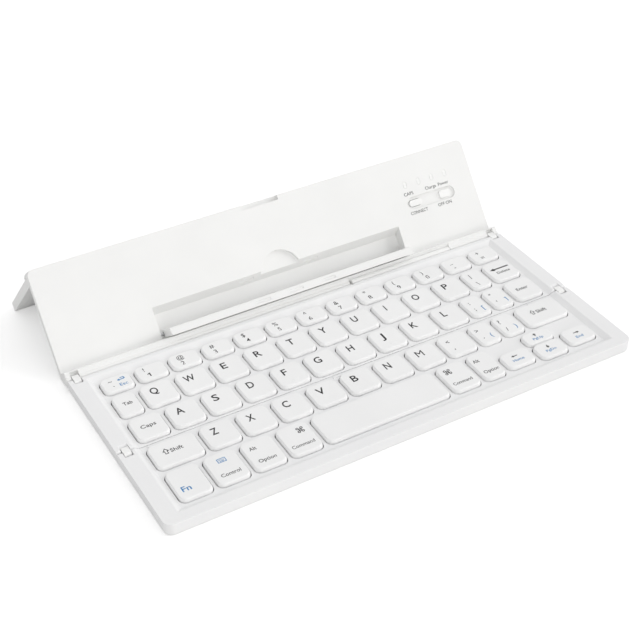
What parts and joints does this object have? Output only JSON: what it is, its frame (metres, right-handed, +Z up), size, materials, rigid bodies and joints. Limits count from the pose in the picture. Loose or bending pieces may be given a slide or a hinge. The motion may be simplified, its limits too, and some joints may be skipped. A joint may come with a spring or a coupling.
{
  "type": "folding keyboard",
  "caption": "Folding keyboard in three hinged panels; the lid tilts up on a stand and holds a tablet on its fold-out ledge.",
  "frame": {"origin": "on the underside, in the middle of the panel that carries the rear key rows", "axes": "+X to the typist's right, +Y away from the typist, +Z up"},
  "size_m": [0.215, 0.1611, 0.0387],
  "materials": {
    "frame": "fine satin white",
    "cover": "fine satin white",
    "sheet": "matt silicone sheet",
    "link": "satin white",
    "steel": "bright drawn",
    "lid": "fine satin warm white",
    "lamp": "milky light pipe",
    "control": "satin white",
    "switch": "matt black",
    "board": "solder mask",
    "battery": "foil pouch",
    "key": "satin white"
  },
  "bodies": {
    "middle_panel": {"middle_frame": "frame", "middle_cover": "cover", "middle_circuit": "sheet"},
    "fold_link": {"fold_links": "link", "fold_pins": "steel"},
    "front_panel": {"front_frame": "frame", "front_cover": "cover", "front_circuit": "sheet"},
    "lid_link": {"lid_links": "link", "lid_pins": "steel"},
    "lid": {"lid_front": "lid", "hinge_cover": "link", "lid_back": "lid", "lamp_windows": "lamp", "connect_switch": "steel", "power_switch": "switch", "circuit_board": "board", "battery": "battery", "charge_socket": "steel"},
    "ledge": {"ledge": "lid", "ledge_pins": "steel"},
    "stand": {"kickstand": "lid", "kickstand_pins": "steel"},
    "connect": {"connect_button": "control"},
    "power": {"power_slider": "control"},
    "key_escape_body": {"key_escape": "key"},
    "number_keys_body": {"number_keys": "key"},
    "key_tab_body": {"key_tab": "key"},
    "top_letter_keys_body": {"top_letter_keys": "key"},
    "key_slash_body": {"key_slash": "key"},
    "key_delete_body": {"key_delete": "key"},
    "key_caps_body": {"key_caps": "key"},
    "home_letter_keys_body": {"home_letter_keys": "key"},
    "key_semicolon_body": {"key_semicolon": "key"},
    "key_quote_body": {"key_quote": "key"},
    "key_enter_body": {"key_enter": "key"},
    "key_left_shift_body": {"key_left_shift": "key"},
    "lower_letter_keys_body": {"lower_letter_keys": "key"},
    "key_comma_body": {"key_comma": "key"},
    "key_period_body": {"key_period": "key"},
    "key_question_body": {"key_question": "key"},
    "key_right_shift_body": {"key_right_shift": "key"},
    "key_fn_body": {"key_fn": "key"},
    "key_control_body": {"key_control": "key"},
    "key_left_alt_body": {"key_left_alt": "key"},
    "key_left_command_body": {"key_left_command": "key"},
    "key_space_body": {"key_space": "key"},
    "key_right_command_body": {"key_right_command": "key"},
    "key_right_alt_body": {"key_right_alt": "key"},
    "key_home_body": {"key_home": "key"},
    "key_up_body": {"key_up": "key"},
    "key_down_body": {"key_down": "key"},
    "key_end_body": {"key_end": "key"}
  },
  "joints": [
    {"name": "fold_at_middle", "type": "hinge", "parent": "middle_panel", "child": "fold_link", "pos_m": [0, -0.0237, 0.0046], "axis": [-1, 0, 0], "range_deg": [0, 90]},
    {"name": "fold_at_front", "type": "hinge", "parent": "fold_link", "child": "front_panel", "pos_m": [0, -0.0264, 0.0046], "axis": [-1, 0, 0], "range_deg": [0, 90]},
    {"name": "lid_at_middle", "type": "hinge", "parent": "middle_panel", "child": "lid_link", "pos_m": [0, 0.0237, 0.0046], "axis": [1, 0, 0], "range_deg": [0, 64.12]},
    {"name": "lid_at_lid", "type": "hinge", "parent": "lid_link", "child": "lid", "pos_m": [0, 0.0264, 0.0046], "axis": [1, 0, 0], "range_deg": [0, 64.12]},
    {"name": "ledge_turn", "type": "hinge", "parent": "lid", "child": "ledge", "pos_m": [0, 0.03512, 0.00448], "axis": [-1, 0, 0], "range_deg": [0, 90]},
    {"name": "stand_turn", "type": "hinge", "parent": "lid", "child": "stand", "pos_m": [0, 0.06125, 0.03157], "axis": [-1, 0, 0], "range_deg": [0, 81.87]},
    {"name": "connect_press", "type": "slide", "parent": "lid", "child": "connect", "axis": [0, -0.7853, 0.6191], "range_m": [-0.0003, 0], "stiffness_N_per_m": 2000, "springref_m": 0.0001},
    {"name": "power_slide", "type": "slide", "parent": "lid", "child": "power", "axis": [1, 0, 0], "range_m": [-0.0025, 0]},
    {"name": "key_escape_press", "type": "slide", "parent": "middle_panel", "child": "key_escape_body", "axis": [0, 0, 1], "range_m": [-0.0011, 0], "stiffness_N_per_m": 300, "springref_m": 0.0005},
    {"name": "number_keys_press", "type": "slide", "parent": "middle_panel", "child": "number_keys_body", "axis": [0, 0, 1], "range_m": [-0.0011, 0], "stiffness_N_per_m": 300, "springref_m": 0.0005},
    {"name": "key_tab_press", "type": "slide", "parent": "middle_panel", "child": "key_tab_body", "axis": [0, 0, 1], "range_m": [-0.0011, 0], "stiffness_N_per_m": 300, "springref_m": 0.0005},
    {"name": "top_letter_keys_press", "type": "slide", "parent": "middle_panel", "child": "top_letter_keys_body", "axis": [0, 0, 1], "range_m": [-0.0011, 0], "stiffness_N_per_m": 300, "springref_m": 0.0005},
    {"name": "key_slash_press", "type": "slide", "parent": "middle_panel", "child": "key_slash_body", "axis": [0, 0, 1], "range_m": [-0.0011, 0], "stiffness_N_per_m": 300, "springref_m": 0.0005},
    {"name": "key_delete_press", "type": "slide", "parent": "middle_panel", "child": "key_delete_body", "axis": [0, 0, 1], "range_m": [-0.0011, 0], "stiffness_N_per_m": 300, "springref_m": 0.0005},
    {"name": "key_caps_press", "type": "slide", "parent": "middle_panel", "child": "key_caps_body", "axis": [0, 0, 1], "range_m": [-0.0011, 0], "stiffness_N_per_m": 300, "springref_m": 0.0005},
    {"name": "home_letter_keys_press", "type": "slide", "parent": "middle_panel", "child": "home_letter_keys_body", "axis": [0, 0, 1], "range_m": [-0.0011, 0], "stiffness_N_per_m": 300, "springref_m": 0.0005},
    {"name": "key_semicolon_press", "type": "slide", "parent": "middle_panel", "child": "key_semicolon_body", "axis": [0, 0, 1], "range_m": [-0.0011, 0], "stiffness_N_per_m": 300, "springref_m": 0.0005},
    {"name": "key_quote_press", "type": "slide", "parent": "middle_panel", "child": "key_quote_body", "axis": [0, 0, 1], "range_m": [-0.0011, 0], "stiffness_N_per_m": 300, "springref_m": 0.0005},
    {"name": "key_enter_press", "type": "slide", "parent": "middle_panel", "child": "key_enter_body", "axis": [0, 0, 1], "range_m": [-0.0011, 0], "stiffness_N_per_m": 300, "springref_m": 0.0005},
    {"name": "key_left_shift_press", "type": "slide", "parent": "front_panel", "child": "key_left_shift_body", "axis": [0, 0, 1], "range_m": [-0.0011, 0], "stiffness_N_per_m": 300, "springref_m": 0.0005},
    {"name": "lower_letter_keys_press", "type": "slide", "parent": "front_panel", "child": "lower_letter_keys_body", "axis": [0, 0, 1], "range_m": [-0.0011, 0], "stiffness_N_per_m": 300, "springref_m": 0.0005},
    {"name": "key_comma_press", "type": "slide", "parent": "front_panel", "child": "key_comma_body", "axis": [0, 0, 1], "range_m": [-0.0011, 0], "stiffness_N_per_m": 300, "springref_m": 0.0005},
    {"name": "key_period_press", "type": "slide", "parent": "front_panel", "child": "key_period_body", "axis": [0, 0, 1], "range_m": [-0.0011, 0], "stiffness_N_per_m": 300, "springref_m": 0.0005},
    {"name": "key_question_press", "type": "slide", "parent": "front_panel", "child": "key_question_body", "axis": [0, 0, 1], "range_m": [-0.0011, 0], "stiffness_N_per_m": 300, "springref_m": 0.0005},
    {"name": "key_right_shift_press", "type": "slide", "parent": "front_panel", "child": "key_right_shift_body", "axis": [0, 0, 1], "range_m": [-0.0011, 0], "stiffness_N_per_m": 300, "springref_m": 0.0005},
    {"name": "key_fn_press", "type": "slide", "parent": "front_panel", "child": "key_fn_body", "axis": [0, 0, 1], "range_m": [-0.0011, 0], "stiffness_N_per_m": 300, "springref_m": 0.0005},
    {"name": "key_control_press", "type": "slide", "parent": "front_panel", "child": "key_control_body", "axis": [0, 0, 1], "range_m": [-0.0011, 0], "stiffness_N_per_m": 300, "springref_m": 0.0005},
    {"name": "key_left_alt_press", "type": "slide", "parent": "front_panel", "child": "key_left_alt_body", "axis": [0, 0, 1], "range_m": [-0.0011, 0], "stiffness_N_per_m": 300, "springref_m": 0.0005},
    {"name": "key_left_command_press", "type": "slide", "parent": "front_panel", "child": "key_left_command_body", "axis": [0, 0, 1], "range_m": [-0.0011, 0], "stiffness_N_per_m": 300, "springref_m": 0.0005},
    {"name": "key_space_press", "type": "slide", "parent": "front_panel", "child": "key_space_body", "axis": [0, 0, 1], "range_m": [-0.0011, 0], "stiffness_N_per_m": 300, "springref_m": 0.0005},
    {"name": "key_right_command_press", "type": "slide", "parent": "front_panel", "child": "key_right_command_body", "axis": [0, 0, 1], "range_m": [-0.0011, 0], "stiffness_N_per_m": 300, "springref_m": 0.0005},
    {"name": "key_right_alt_press", "type": "slide", "parent": "front_panel", "child": "key_right_alt_body", "axis": [0, 0, 1], "range_m": [-0.0011, 0], "stiffness_N_per_m": 300, "springref_m": 0.0005},
    {"name": "key_home_press", "type": "slide", "parent": "front_panel", "child": "key_home_body", "axis": [0, 0, 1], "range_m": [-0.0011, 0], "stiffness_N_per_m": 300, "springref_m": 0.0005},
    {"name": "key_up_press", "type": "slide", "parent": "front_panel", "child": "key_up_body", "axis": [0, 0, 1], "range_m": [-0.0011, 0], "stiffness_N_per_m": 300, "springref_m": 0.0005},
    {"name": "key_down_press", "type": "slide", "parent": "front_panel", "child": "key_down_body", "axis": [0, 0, 1], "range_m": [-0.0011, 0], "stiffness_N_per_m": 300, "springref_m": 0.0005},
    {"name": "key_end_press", "type": "slide", "parent": "front_panel", "child": "key_end_body", "axis": [0, 0, 1], "range_m": [-0.0011, 0], "stiffness_N_per_m": 300, "springref_m": 0.0005}
  ]
}
